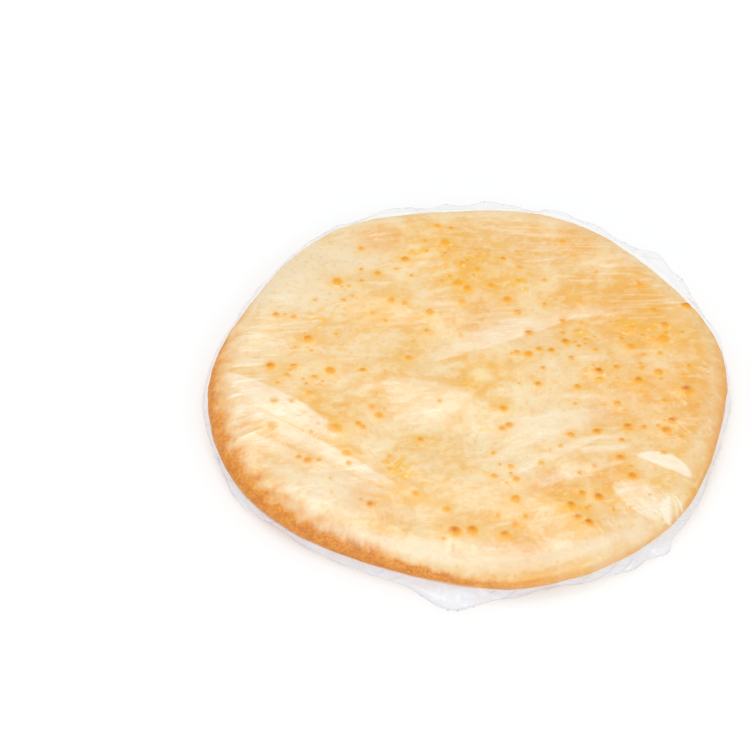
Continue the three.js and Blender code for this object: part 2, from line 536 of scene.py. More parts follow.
def spreadSmallBlisters():
    rule = smallBlisters
    draw = makeDraw(rule["seed"])
    spread = []
    while len(spread) < rule["count"]:
        x, y = drawPlace(draw, 0, 0, rule["reach"])
        width = between(rule["widths"], draw() ** 2)
        rightwards = 0.5 + 0.5 * (x / rule["reach"])
        wanted = draw() < between(rule["chances"], rightwards)
        taken = [*largeBlisters, *spread]
        clear = all(math.hypot(other[0] - x, other[1] - y) > rule["leastSpacing"] for other in taken)
        if wanted and clear:
            brown = rule["brownest"] * (len(spread) * rule["brownStep"] % 1)
            spread.append((x, y, width, width * rule["riseByWidth"], brown))
    return spread


def spreadTinyBlisters():
    rule = tinyBlisters
    draw = makeDraw(rule["seed"])
    areas = [(0, 0, rule["reach"], rule["count"]), *rule["clusters"]]
    spread = []
    for middleX, middleY, reach, count in areas:
        for _ in range(count):
            x, y = drawPlace(draw, middleX, middleY, reach)
            width = between(rule["widths"], draw())
            brown = rule["brownest"] * draw()
            spread.append((x, y, width, width * rule["riseByWidth"], brown))
    return spread


def placeBlisters():
    # every blister as its middle in space, width, rise and brownness
    placed = []
    flatOnes = [*largeBlisters, *spreadSmallBlisters(), *lowBlisters, *spreadTinyBlisters()]
    for x, y, width, rise, brown in flatOnes:
        placed.append((np.array((x, y, float(topAt(x, y)))), width, rise, brown))
    angle = np.radians(float(edgeNodule["heading"]))
    turn = math.acos(1 - edgeNodule["inset"] / bread["shoulder"])
    radius, height = onShoulder(np.array([angle]), turn)
    middle = toPoints(radius, np.array([angle]), height)[0]
    placed.append((middle, edgeNodule["width"], edgeNodule["rise"], edgeNodule["brown"]))
    return placed


blisters = placeBlisters()


def joinRings(ring, angle, first, others, gap=0.0):
    # the flat map's disc becomes the top inside the shoulder, and each set of rings a section
    radius, height = first
    for share, nextRadius, nextHeight in others:
        radius = np.where(share > 0, nextRadius, radius)
        height = np.where(share > 0, nextHeight, height)
    onTop = ring <= 1
    radius = np.where(onTop, ring * (edgeAt(angle) - bread["shoulder"]), radius)
    points = toPoints(radius, angle, height)
    points[onTop, 2] = topAt(points[onTop, 0], points[onTop, 1]) + gap
    return points


def shapeBread(flat):
    # from the flat map to the loaf: its top, shoulder, tucked side and underside
    ring = np.hypot(flat[:, 0], flat[:, 1])
    angle = np.arctan2(flat[:, 1], flat[:, 0])
    edge = edgeAt(angle)
    shoulderShare, tuckShare, underShare = ringShares(ring, bread["rings"])
    turn = quarterTurn * (1 - shoulderShare)
    tuckTurn = quarterTurn * tuckShare
    tuckRadius = edge - bread["tuck"] * (1 - np.cos(tuckTurn))
    tuckHeight = between((bread["sideHeight"], bread["under"]), np.sin(tuckTurn))
    underRadius = (edge - bread["tuck"]) * (1 - underShare)
    others = ((tuckShare, tuckRadius, tuckHeight), (underShare, underRadius, tuckHeight))
    return joinRings(ring, angle, onShoulder(angle, turn), others), ring, angle, turn


def splitNearBlisters(mesh):
    # finer faces where the blisters stand, worked out in the flat map
    points = shapeBread(readVectors(mesh.vertices, "co"))[0]
    near = np.zeros(len(points), bool)
    margin, share = blisterLook["fineReach"]
    for middle, width, _, _ in blisters:
        near |= np.linalg.norm(points - middle, axis=1) < share * width + margin
    work = bmesh.new()
    work.from_mesh(mesh)
    work.verts.ensure_lookup_table()
    edges = [e for e in work.edges if near[e.verts[0].index] and near[e.verts[1].index]]
    bmesh.ops.subdivide_edges(work, edges=edges, cuts=blisterLook["fineCuts"], use_grid_fill=True)
    bmesh.ops.triangulate(work, faces=[f for f in work.faces if len(f.verts) > 4])
    work.to_mesh(mesh)
    work.free()


def fromPlace(points, x, y):
    return np.hypot(points[:, 0] - x, points[:, 1] - y)


def patchMask(points, patches):
    mask = np.zeros(len(points))
    for x, y, radius, *given in patches:
        strength = given[0] if given else 1
        mask = np.maximum(mask, strength * hill(fromPlace(points, x, y) / radius))
    return mask


def curdRelief(points, mask):
    # crumbs of cheese, as small cells with raised middles
    relief = np.zeros(len(points))
    for i in np.nonzero(mask > cheese["leastMask"])[0]:
        away = noise.voronoi(Vector(points[i]) / cheese["crumbSize"])[0]
        relief[i] = max(0, cheese["crumbReach"] - away[0])
    return relief


def blisterMasks(points):
    # the relief of the blisters, their golden tops, brown caps and the yellow rings round them
    look = blisterLook
    masks = np.zeros((4, len(points)))
    outline = ripples(points, *look["outline"])
    for middle, width, height, brown in blisters:
        apart = points - middle
        away = np.linalg.norm(apart, axis=1) / (width / 2)
        near = away < look["reach"]
        away = away[near] * (1 + outline[near])
        fromCap = (apart[near, :2] / width - look["capPlace"]) / look["capSize"]
        strength = between(look["strengths"], min(1, width / look["fullWidth"]))
        shown = (
            look["domeRise"] * height / (1 + (away / look["domeReach"]) ** look["domeFall"]),
            strength * softStep(*look["goldEdge"], away),
            brown * softStep(*look["capEdge"], np.linalg.norm(fromCap, axis=1)),
            look["haloStrength"] * strength * hill(away / look["haloReach"]),
        )
        masks[:, near] = np.maximum(masks[:, near], shown)
    return masks


# the baked band, partly painted shade: its right part darkens the right rim, and it is full towards the
# lower edge
def bakedAndShadedMask(points, angle, turn, above):
    front, left, right, faint = [lobe(angle, *band[part]) for part in ("front", "left", "right", "faint")]
    top = band["top"] + band["topByFront"] * front + band["topByLeft"] * left + band["topByRight"] * right
    depth = between(band["depths"], np.maximum(front, left)) + band["depthByFaint"] * faint
    soft = band["softness"] + band["softnessByLeft"] * left
    ragged = sum(ripples(points, *ripple) for ripple in band["ragged"])
    share = softStep(band["edge"] + soft, band["edge"] - soft, turn / np.radians(top) + ragged)
    return np.where(above, share, 1) * depth


def makeBreadMesh():
    flat, faces = flatDisc(bread["cells"], sum(bread["rings"].values()))
    mesh = meshFrom("bread", np.column_stack((flat, np.zeros(len(flat)))), faces)
    splitNearBlisters(mesh)
    points, ring, angle, turn = shapeBread(readVectors(mesh.vertices, "co"))
    writePoints(mesh, points * mm)
    normals = readVectors(mesh.vertex_normals, "vector")
    above = ring < 1 + bread["rings"]["shoulder"]

    curd = patchMask(points, curdPatches) * above
    broken = ripples(points, *cheese["gaps"]) + cheese["fullness"] * (curd - 0.5)
    curd = curd * softStep(*cheese["gapEdge"], broken)
    crumbs = curdRelief(points, curd)
    crumbly = np.clip(curd * cheese["crumbShare"], 0, 1)
    rise = ripples(points, *bread["lumps"]) + ripples(points, *bread["pits"])
    rise += cheese["crumbRise"] * crumbs * crumbly
    fromDent = fromPlace(points, *dent["place"]) + ripples(points, *dent["outline"])
    hollow = above * hill((fromDent - dent["radius"]) / dent["width"])
    bump = above * hill(fromPlace(points, *dent["bumpPlace"]) / dent["bumpRadius"])
    rise += dent["bumpRise"] * bump - dent["depth"] * hollow
    dome, gold, cap, halo = blisterMasks(points)
    rise = rise * (1 - blisterLook["smoother"] * gold) + dome
    rise *= ring <= bread["rings"]["shoulder"] + bread["rings"]["tuck"]
    writePoints(mesh, (points + normals * rise[:, None]) * mm)

    pale = softStep(*cheese["paleEdge"], crumbs) * crumbly
    pale = pale * softStep(*cheese["paleSpotEdge"], ripples(points, *cheese["paleSpots"]))
    rim = above * softStep(*paleShoulder["lowEdge"], turn) * softStep(*paleShoulder["highEdge"], turn)
    rim = rim * between(paleShoulder["strengths"], lobe(angle, *paleShoulder["front"]))
    masks = {
        "bakedAndShaded": bakedAndShadedMask(points, angle, turn, above),
        "gold": gold,
        "cap": cap,
        "halo": halo,
        "curd": np.maximum(curd * between(cheese["yellow"], crumbs), dent["yellow"] * hollow),
        "crumb": np.maximum(pale, dent["bumpPale"] * bump),
        "tan": np.maximum(patchMask(points, tanPatches) * above, dent["tan"] * hollow),
        "floury": np.maximum(rim, patchMask(points, palePatches) * above),
    }
    writeMasks(mesh, masks)
    closeMiddle(mesh, 0.5 * bread["sideHeight"] * mm)
    return mesh


# Film: tight over the top, loose and crinkled in a brim round the edge
film = {
    "cells": 240,
    "rings": {"arc": 13, "skirt": 17, "brim": 5, "under": 2},
    "gap": 0.45,
    "lowest": 0.06,
    "topFallShare": 0.6,
    "leastTouch": 1.001,  # keeps the foot of the skirt outside the shoulder
    "kneeShare": 0.3,
    "kneeHeight": 1.6,
    "kneeByRise": 0.75,
    "lip": 0.3,
    "brimClear": 0.9,
    "brimReach": 1.0,
    "brimRise": 0.6,
    "brimCurl": 1.3,
    "leastWidth": 1.0,
    "crinkleReach": 0.6,
    "crinkleShares": (0.2, 1),
    "looseReach": 5.0,
    "lobes": [  # heading, half width, reach, rise
        (42, 15, 6.1, 6.7),
        (67, 10, 1.0, 1.1),
        (95, 40, 5.7, 6.2),
        (19, 5, 1.4, 1.4),
        (155, 11, 1.9, 2.0),
        (-144, 8, 5.8, 1.6),
        (-142, 19, -6.1, -1.7),
        (-93, 7, 11.4, 2.9),
        (-73, 9, -4.8, -1.2),
        (-54, 4, 3.0, 0.8),
        (-46, 3, 6.0, 1.9),
        (-19, 10, -2.3, -0.8),
    ],
    "crinkles": [(17, 0.8, 0.7), (29, 0.7, 2.6), (43, 0.45, 4.4)],  # how many, height, shift
    "sag": 0.3,
    "slow": (52, 71, 16, 0.24),
    "creases": [(60, 73, 0.22), (27, 74, 0.088), (17, 72, 0.06)],  # length, seed, rise
    "creaseTop": 1.6,
    "creaseWaves": 5,
    "standRise": 0.15,
    "drapeShare": 0.2,  # the least of a blister's rise that shows in the film
    "drapeReach": 1.25,
    "touchEdge": (0.9, 0.4),
}
pleats = {
    "seed": 5,
    "count": 60,
    "lengths": (9, 44),
    "widths": (1.2, 5.0),
    "rises": (0.06, 0.22),
    "bends": (-0.25, 0.25),
    "chances": (0.35, 1),
    "most": (-165, 60),
    "overrun": 8,
    "taper": (0.5, 1.2),
}

# The loose skirt over the loaf's side, with ripples that run round the rim
skirt = {
    "circle": 30.0,  # the ripples are read on a circle this small
    "crackles": [(4.2, 81), (2.2, 82, 16, 0.5)],
    "crackleTop": 1.4,
    "crackleRise": 0.3,
    "looseEdge": (0.1, 0.9),
    "lipEdge": (1.0, 0.85),
    "flatEdge": (1.0, 0.75),
    "roominess": (0.3, 1.3),
    "folds": [(17, 1.8, 0.6), (27, -2.8, 0.35)],  # how many round the rim, slant, rise
    "bends": (11, 83, 16, 0.05),
    "shown": (8, 84),
    "shownEdge": (0, 0.9),
    "ridgeEdge": (0.88, 1),
    "valleyEdge": (0.12, 0),
}

# Where the film shows white or bright, mostly painted sheen and cover over the floor's shadow, and where
# its fold lines are painted grey, by mm outside the loaf's side or by shares of the skirt
filmShows = {
    "outsideEdge": (-1.1, -0.2),
    "innerEdge": (-2, -12),
    "breadEdge": (0, -6),
    "creaseEdge": (-4, -14),
    "creaseStrengths": (0.25, 1),
    "fullFold": 0.35,
    "fullWrinkle": 0.16,
    "standOffSheenEdge": (0.6, 0.2),
    "foldEdge": (0.9, 0.7),
    "lipEdge": (0.86, 0.97),
    "nearSide": (0.1, -0.7),  # edge in the sine of the heading
    "lipStrengths": (0.35, 1),
    "foldShadeLine": 0.85,
    "lipShadeLine": 0.75,
    "foldCrease": 0.4,
    "brimMilk": 0.2,
    "touchMilk": 0.8,
    "sideMilkOverShadow": (0.32, 1),
    "foldMilkAndSheen": (0.62, 1),
    "crumpleMilk": (0.76, 1),
    "crumples": (11, 86),
    "crumpleEdge": (-0.7, 0.7),
}

# Fine wrinkles, in bundles of place, heading, length, how many, spacing and rise
wrinkleLook = {"slide": 0.5, "slideTurn": 2.4, "curve": 0.004, "width": 0.75}
wrinkleBundles = [
    (66, 84, 4, 17, 6, 3.1, 0.1),
    (104, 6, 118, 9, 8, 3.2, 0.14),
    (104, -16, 122, 9, 6, 3.0, 0.14),
    (12, 90, -12, 22, 5, 3.6, 0.1),
    (-50, 60, 22, 18, 4, 4.0, 0.08),
    (84, -52, 34, 14, 4, 3.4, 0.1),
    (30, -45, 33, 26, 6, 4.2, 0.12),
]

# Where the film stands off the bread and looks milky, with streaks along each patch: mostly painted sheen,
# with a small real lift
standOffSheenLook = {
    "bow": 0.8,
    "ends": 0.08,
    "streakLength": 16,
    "streakWidth": 1.8,
    "feather": 0.92,
    "featherHeight": 0.06,
    "featherWaves": 8,
    "seed": 500,
}

# Each lies between two bent lines that meet at its ends: from x, y to x, y, bends of the near and
# the far line to the left, strength, and how soft the two lines are
standOffSheens = [
    (-56, -46, -113, -9, -7, 8, 0.66, 0.7, 4),
    (-30, -72, -106, -25, -2, 7, 0.64, 0.9, 4),
    (-26, -80, -100, -44, -1, 7, 0.42, 1, 4),
    (-4, -90, -94, -60, 0, 13, 0.28, 3, 6),
    (-22, 3, 54, 43, -2, 9, 0.5, 0.7, 6),
    (2, -14, -40, -6, -2, 26, 0.38, 2, 8),
    (66, -16, 0, -34, -1, 14, 0.32, 1.5, 6),
    (10, -54, 50, -28, 0, 5, 0.42, 0.5, 2),
    (18, -64, 62, -34, 0, 5, 0.42, 0.5, 2),
    (28, -70, 70, -50, 0, 6, 0.38, 0.5, 3),
    (46, -44, 71.5, -40, -4, 0.3, 0.45, 2, 0.5),
    (72, -46.5, 97.5, -58.5, 0.5, 8.5, 0.9, 0.5, 0.5),
    (61, -64, 82, -85, -3, 13, 0.5, 0.6, 4),
    (87.4, -87, 87, -68, 0, 4.5, 0.85, 0.4, 0.5),
    (92.4, -80, 88.4, -68.6, -1.8, -0.7, 0.75, 0.35, 0.35),
    (90, -84, 88, -70, -1.4, -0.5, 0.6, 0.35, 0.35),
    (84, -84, -72, -92, 14, 27, 0.34, 2.5, 3),
    (-6, 101, 48, 99, 1, 8, 0.2, 1, 4),
    (0, 96, 40, 90, 0, 3, 0.22, 0.6, 1.5),
    (38, 36, 78, 42, 1, 7, 0.3, 1, 4),
    (60, 49.5, 99, 53, 0, 1, 0.3, 0.3, 0.6),
    (103, 11, 109, 6.5, 0, 0.9, 0.8, 0.35, 0.35),
    (-71, 10.5, -64.5, 3.5, 0, 0.9, 0.45, 0.35, 0.35),
    (-73, -8.5, -67, -17, 0, 0.9, 0.45, 0.35, 0.35),
    (-89, 14, -81.5, 5, 0, 0.9, 0.35, 0.35, 0.35),
]

# Painted sheen in strokes that fan out inwards from the rim: heading, half width, nearest and furthest
# inwards, strength
sheenFans = {
    "seed": 19,
    "middle": -150,
    "softness": 5,
    "farSoftness": 0.5,
    "strokeEdge": (0.1, 1.2),
    "sheenStrokes": [(2.8, 24, 0.6), (8, 40, 0.8)],  # width, length, share
    "places": [
        (-170, 12, 8, 40, 0.9),
        (-150, 9, 12, 36, 0.5),
        (162, 12, 6, 26, 0.35),
        (-128, 10, 12, 28, 0.3),
        (-52, 12, 6, 22, 0.3),
    ],
}

# Regions of fine lines in the film, painted as white glints with a little bump: name, heading, then place,
# radius and strength of each
hairlineGlints = [
    ("linesAcross", 4, [(66, 84, 26, 1), (84, 62, 22, 0.8), (-98, 10, 22, 0.6), (20, 95, 22, 0.5)]),
    ("linesDown", -44, [(108, 8, 16, 0.7), (102, -24, 16, 0.7), (84, -66, 18, 0.6)]),
    ("linesOut", -80, [(-44, -90, 18, 0.4), (60, -84, 16, 0.4)]),
]


def creased(points, length, seed, rise):
    # long straight ridges with nearly flat film between them, never below 0
    sides = np.abs(ripples(points, length, seed, film["creaseWaves"]))
    return rise * np.maximum(0, film["creaseTop"] - sides)


def zigzag(angle):
    return 2 / math.pi * np.arcsin(np.sin(angle))


def brimAt(angle):
    # the rim of the film: where it turns up, how wide it is from there, and how high its lip is
    reach = np.full_like(angle, film["brimReach"])
    rise = np.full_like(angle, film["brimRise"])
    for heading, halfWidth, lobeReach, lobeRise in film["lobes"]:
        share = lobe(angle, heading, halfWidth)
        reach += lobeReach * share
        rise += lobeRise * share
    crinkle = np.zeros_like(angle)
    for waves, height, shift in film["crinkles"]:
        crinkle += height * zigzag(waves * angle + shift)
    crinkle *= np.clip(reach / film["looseReach"], *film["crinkleShares"])
    reach += film["crinkleReach"] * crinkle
    start = edgeAt(angle) + film["brimClear"] + np.minimum(reach - film["leastWidth"], 0)
    return start, np.maximum(reach, film["leastWidth"]), np.maximum(rise + crinkle, 0)


def shapeFilm(flat):
    ring = np.hypot(flat[:, 0], flat[:, 1])
    angle = np.arctan2(flat[:, 1], flat[:, 0])
    edge = edgeAt(angle)
    start, width, rise = brimAt(angle)
    lipRadius = start + width
    lipHeight = rise + film["lip"]
    kneeRadius = between((edge + film["brimClear"], lipRadius), film["kneeShare"])
    kneeHeight = film["kneeHeight"] + film["kneeByRise"] * rise

    # where a line from the knee just touches the shoulder
    gap = film["gap"]
    wide = bread["shoulder"] + gap
    high = bread["top"] - film["topFallShare"] * bread["topFall"] - bread["sideHeight"] + gap
    outward = (kneeRadius - (edge - bread["shoulder"])) / wide
    upward = (kneeHeight - bread["sideHeight"]) / high
    apart = np.maximum(np.hypot(outward, upward), film["leastTouch"])
    touch = np.arctan2(upward, outward) + np.arccos(1 / apart)

    arcShare, skirtShare, brimShare, underShare = ringShares(ring, film["rings"])
    arc = onShoulder(angle, between((quarterTurn, touch), arcShare), gap)
    touchRadius, touchHeight = onShoulder(angle, touch, gap)
    first = (1 - skirtShare) ** 2
    second = 2 * skirtShare * (1 - skirtShare)
    third = skirtShare**2
    skirtRadius = first * touchRadius + second * kneeRadius + third * lipRadius
    skirtHeight = first * touchHeight + second * kneeHeight + third * lipHeight
    brimRadius = start + width * (1 - brimShare)
    brimHeight = between((film["lowest"], lipHeight), (1 - brimShare) ** film["brimCurl"])
    others = (
        (skirtShare, skirtRadius, skirtHeight),
        (brimShare, brimRadius, brimHeight),
        (underShare, start * (1 - underShare), film["lowest"]),
    )
    return joinRings(ring, angle, arc, others, gap), ring, angle, skirtShare


def pleatRise(points, angle, radius, edge):
    # folds that run from the rim towards the middle, more of them at the left and the front
    draw = makeDraw(pleats["seed"])
    total = np.zeros(len(points))
    made = 0
    while made < pleats["count"]:
        heading = 360 * draw() - 180
        chance = draw()
        length = between(pleats["lengths"], draw() ** 2)
        width = between(pleats["widths"], draw() ** 2)
        height = between(pleats["rises"], draw() ** 1.5)
        bend = between(pleats["bends"], draw())
        if chance > between(pleats["chances"], lobe(math.radians(heading), *pleats["most"])):
            continue
        made += 1
        inner = edge - bread["shoulder"] - length
        along = softStep(0, 1, (radius - inner) / (length + pleats["overrun"]))
        inwards = (edge - radius) / bread["radius"]
        across = radius * (turnApart(angle, heading) + bend * inwards**2)
        total += height * along * hill(across / (width * between(pleats["taper"], along)))
    return total


def bundleRise(points):
    look = wrinkleLook
    total = np.zeros(len(points))
    for x, y, heading, length, count, spacing, height in wrinkleBundles:
        along, across = alongAndAcross(points[:, 0] - x, points[:, 1] - y, *wayOf(heading))
        for step in range(count):
            middle = (step - (count - 1) / 2) * spacing
            slide = look["slide"] * length * math.sin(look["slideTurn"] * step + x)
            curve = look["curve"] * (along - slide) ** 2
            ridge = hill((across - middle - curve) / look["width"])
            total += height * ridge * hill((along - slide) / length)
    return total


def standOffSheenMask(points):
    # painted sheen from 0 to 1, feathered a little along each fold; folds were placed on the level top, and
    # slide
    # # back on the shoulder, which is lower
    slide = (bread["top"] - points[:, 2]) / math.tan(math.radians(camera["elevation"]))
    look = standOffSheenLook
    mask = np.zeros(len(points))
    for number, patch in enumerate(standOffSheens):
        startX, startY, endX, endY, nearBend, farBend, strength, nearSoft, farSoft = patch
        length = math.hypot(endX - startX, endY - startY)
        way = ((endX - startX) / length, (endY - startY) / length)
        forward, left = alongAndAcross(points[:, 0] - startX, points[:, 1] - slide - startY, *way)
        share = forward / length
        bow = np.clip(4 * share * (1 - share), 0, 1) ** look["bow"]
        inside = softStep(-nearSoft, nearSoft, left - nearBend * bow)
        inside = inside * softStep(farSoft, -farSoft, left - farBend * bow)
        inside = inside * softStep(0, look["ends"], share) * softStep(1, 1 - look["ends"], share)
        streaks = np.stack((forward / look["streakLength"], left / look["streakWidth"], 0 * left), -1)
        feather = ripples(streaks, 1, look["seed"] + number, look["featherWaves"], look["featherHeight"])
        mask = np.maximum(mask, strength * inside * (look["feather"] + feather))
    return np.clip(mask, 0, 1)


def sheenFanMask(angle, inwards):
    # painted sheen: feathery white strokes that run inwards from the shoulder, where the film is gathered
    across = turnApart(angle, sheenFans["middle"]) * bread["radius"]
    sheenStrokes = np.zeros(len(angle))
    for number, (width, length, share) in enumerate(sheenFans["sheenStrokes"]):
        stretched = np.stack((across / width, inwards / length, 0 * across), -1)
        sheenStrokes += ripples(stretched, 1, sheenFans["seed"] + number, height=share)
    mask = np.zeros(len(angle))
    for heading, halfWidth, nearest, furthest, strength in sheenFans["places"]:
        reach = softStep(nearest, nearest + sheenFans["softness"], inwards)
        reach = reach * softStep(furthest, sheenFans["farSoftness"] * furthest, inwards)
        mask = np.maximum(mask, strength * lobe(angle, heading, halfWidth) * reach)
    return mask * softStep(*sheenFans["strokeEdge"], sheenStrokes)


def overBlisters(points):
    # how far the blisters lift the film, and where it touches them
    drape, touching = np.zeros((2, len(points)))
    for middle, width, height, _ in blisters:
        away = np.linalg.norm(points - middle, axis=1) / width
        held = max(film["drapeShare"] * height, height - film["gap"])
        drape = np.maximum(drape, held * hill(away / film["drapeReach"]))
        touching = np.maximum(touching, softStep(*film["touchEdge"], away))
    return drape, touching


def skirtRelief(angle, skirtShare):
    # the loose skirt, crinkled along the rim: its rise, the lines of its folds for painted grey shade, and
    # a share for painting their sides brighter
    around = toPoints(skirt["circle"], angle, 0 * angle)
    crackle = sum(np.abs(ripples(around, *ripple)) for ripple in skirt["crackles"])
    loose = softStep(*skirt["looseEdge"], skirtShare) * softStep(*skirt["lipEdge"], skirtShare)
    rise = skirt["crackleRise"] * loose * (skirt["crackleTop"] - crackle)
    roomy = np.clip(brimAt(angle)[1] / film["looseReach"], *skirt["roominess"])
    lines, bright = np.zeros((2, len(angle)))
    bent = angle + ripples(around, *skirt["bends"])
    length, seed = skirt["shown"]
    for number, (count, slant, height) in enumerate(skirt["folds"]):
        fold = np.abs(zigzag(count * bent + slant * skirtShare))
        rise += height * roomy * loose * fold
        shown = softStep(*skirt["shownEdge"], ripples(around, length, seed + number)) / (1 + number)
        sharp = softStep(*skirt["ridgeEdge"], fold) + softStep(*skirt["valleyEdge"], fold)
        lines = np.maximum(lines, shown * sharp)
        bright += fold / len(skirt["folds"])
    return rise, lines, bright


def outsideLoaf(points, angle, away):
    # what lies outside the loaf's outline as the camera sees it, or below its side elsewhere
    level, upwards = wayOf(camera["elevation"])
    forwards = np.maximum(0, -level * np.sin(angle))
    tuckIn = bread["tuck"] * upwards
    tuckDown = (bread["sideHeight"] - bread["under"]) * forwards
    outline = np.hypot(tuckIn, tuckDown) - tuckIn - bread["sideHeight"] * forwards
    return softStep(*filmShows["outsideEdge"], away * upwards - points[:, 2] * forwards - outline)


def makeFilmMesh():
    flat, faces = flatDisc(film["cells"], sum(film["rings"].values()))
    points, ring, angle, skirtShare = shapeFilm(flat)
    mesh = meshFrom("film", points * mm, faces)
    normals = readVectors(mesh.vertex_normals, "vector")
    radius = np.hypot(points[:, 0], points[:, 1])
    edge = edgeAt(angle)
    away = radius - edge
    brimStart = 1 + film["rings"]["arc"] + film["rings"]["skirt"]
    upper = ring < brimStart
    shows = filmShows

    drape, touching = overBlisters(points)
    slow = film["sag"] + ripples(points, *film["slow"])
    creases = sum(creased(points, *crease) for crease in film["creases"])
    folds = pleatRise(points, angle, radius, edge)
    bundles = bundleRise(points)
    # painted sheen patches, which also lift the film a little
    standOffSheen = standOffSheenMask(points) * softStep(*shows["standOffSheenEdge"], skirtShare)
    looseRise, lines, bright = skirtRelief(angle, skirtShare)
    rise = drape + np.maximum(slow, 0) + creases + folds + bundles + looseRise
    rise += film["standRise"] * standOffSheen
    rise *= softStep(*skirt["flatEdge"], skirtShare) * upper  # both faces alike at the lip
    writePoints(mesh, (points + normals * rise[:, None]) * mm)

    outside = outsideLoaf(points, angle, away)
    nearSide = softStep(*shows["nearSide"], np.sin(angle))
    crease = np.clip(folds / shows["fullFold"], 0, 1) ** 1.5
    crease += np.clip(bundles / shows["fullWrinkle"], 0, 1) ** 2
    crease *= between(shows["creaseStrengths"], softStep(*shows["creaseEdge"], away))
    lines = outside * lines * softStep(*shows["foldEdge"], skirtShare)
    lip = outside * softStep(*shows["lipEdge"], skirtShare) * between(shows["lipStrengths"], nearSide)
    # painted shade: grey lines along the skirt's folds and along its lip, the lip's stronger at the front
    foldShadeLine = np.maximum(shows["foldShadeLine"] * lines, shows["lipShadeLine"] * lip)
    milkAndSheen = np.maximum(standOffSheen, sheenFanMask(angle, -away)) * (1 - shows["touchMilk"] * touching)
    crumpled = softStep(*shows["crumpleEdge"], ripples(points, *shows["crumples"]))
    crumpled = between(shows["crumpleMilk"], crumpled)
    # painted light: the skirt seen beyond the loaf is whiter to cover the floor's contact shadow, most at
    # the front, and brighter on its fold sides
    loose = outside * between(shows["foldMilkAndSheen"], bright) * crumpled * between(shows["sideMilkOverShadow"], nearSide)
    brimMilk = shows["brimMilk"] * (ring < brimStart + film["rings"]["brim"])
    overBread = upper * softStep(*shows["breadEdge"], away)
    masks = {
        "crease": upper * (crease + shows["foldCrease"] * lines),
        "foldShadeLine": (ring <= brimStart) * foldShadeLine,
        "lowerSheet": ~upper,
        "skirt": np.where(upper, outside, 1),
        "milkAndSheen": np.where(upper, np.maximum(milkAndSheen, loose), brimMilk),
        "inner": upper * softStep(*shows["innerEdge"], away),
    }
    for name, _, patches in hairlineGlints:
        masks[name] = patchMask(points, patches) * overBread
    writeMasks(mesh, masks)
    closeMiddle(mesh, 0.5 * bread["sideHeight"] * mm)
    return mesh


# Materials
def tone(red, green, blue):
    # a colour as seen on a screen, 0 to 255, as Blender's own values
    seen = Color((red / 255, green / 255, blue / 255))
    return [*seen.from_srgb_to_scene_linear(), 1]


def addNode(tree, kind, **settings):
    made = tree.nodes.new(kind)
    for name, value in settings.items():
        setattr(made, name, value)
    return made


def setSockets(node, values):
    for name, value in values.items():
        node.inputs[name].default_value = value


def addClouds(tree, settings):
    # one use of the mottle group with its own settings
    made = addNode(tree, "ShaderNodeGroup", node_tree=mottle)
    setSockets(made, settings)
    return made.outputs["Mask"]


def feed(tree, sockets, values):
    # each value is a number, a colour or another node's socket
    for socket, value in zip(sockets, values):
        if isinstance(value, bpy.types.NodeSocket):
            tree.links.new(value, socket)
        else:
            socket.default_value = value


def mixColours(tree, share, first, second):
    made = addNode(tree, "ShaderNodeMix", data_type="RGBA")
    colours = [socket for socket in made.inputs if socket.type == "RGBA"]
    feed(tree, (made.inputs[0], *colours), (share, first, second))
    return next(socket for socket in made.outputs if socket.type == "RGBA")


def calculate(tree, operation, *values, clamp=False):
    made = addNode(tree, "ShaderNodeMath", operation=operation, use_clamp=clamp)
    feed(tree, made.inputs, values)
    return made.outputs[0]


def times(tree, first, second, clamp=False):
    return calculate(tree, "MULTIPLY", first, second, clamp=clamp)


def addUp(tree, weights, *masks, clamp=False):
    # the first weight, and then each mask times its own
    total = weights[0]
    for mask, weight in zip(masks, weights[1:]):
        total = calculate(tree, "MULTIPLY_ADD", mask, weight, total)
    total.node.use_clamp = clamp
    return total


def readMask(tree, name):
    return addNode(tree, "ShaderNodeAttribute", attribute_name=name).outputs["Fac"]


def makeMottle():
    # cloudy patches from 0 to 1, or streaks where they are stretched along a heading, used on the
    # crust, the film and the floor
    group = bpy.data.node_groups.new("mottle", "ShaderNodeTree")
    usual = {"Scale": 50, "Detail": 4, "Distortion": 0, "Low": 0.4, "High": 0.6, "Heading": 0, "Stretch": 1}
    for name, value in usual.items():
        socket = group.interface.new_socket(name, in_out="INPUT", socket_type="NodeSocketFloat")
        socket.default_value = value
    group.interface.new_socket("Mask", in_out="OUTPUT", socket_type="NodeSocketFloat")
    given = addNode(group, "NodeGroupInput").outputs
    place = addNode(group, "ShaderNodeTexCoord").outputs["Object"]
    turned = addNode(group, "ShaderNodeVectorRotate", rotation_type="Z_AXIS")
    shrink = addNode(group, "ShaderNodeCombineXYZ")
    setSockets(shrink, {"Y": 1, "Z": 1})
    streaked = addNode(group, "ShaderNodeVectorMath", operation="MULTIPLY")
    clouds = addNode(group, "ShaderNodeTexNoise")
    spread = addNode(group, "ShaderNodeMapRange", interpolation_type="SMOOTHSTEP")
    result = addNode(group, "NodeGroupOutput")
    links = (
        (place, turned.inputs["Vector"]),
        (calculate(group, "MULTIPLY", given["Heading"], -1), turned.inputs["Angle"]),
        (calculate(group, "DIVIDE", 1, given["Stretch"]), shrink.inputs["X"]),
        (turned.outputs[0], streaked.inputs[0]),
        (shrink.outputs[0], streaked.inputs[1]),
        (streaked.outputs[0], clouds.inputs["Vector"]),
        *((given[name], clouds.inputs[name]) for name in ("Scale", "Detail", "Distortion")),
        (clouds.outputs["Fac"], spread.inputs["Value"]),
        (given["Low"], spread.inputs["From Min"]),
        (given["High"], spread.inputs["From Max"]),
        (spread.outputs[0], result.inputs["Mask"]),
    )
    for source, socket in links:
        group.links.new(source, socket)
    return group


mottle = makeMottle()

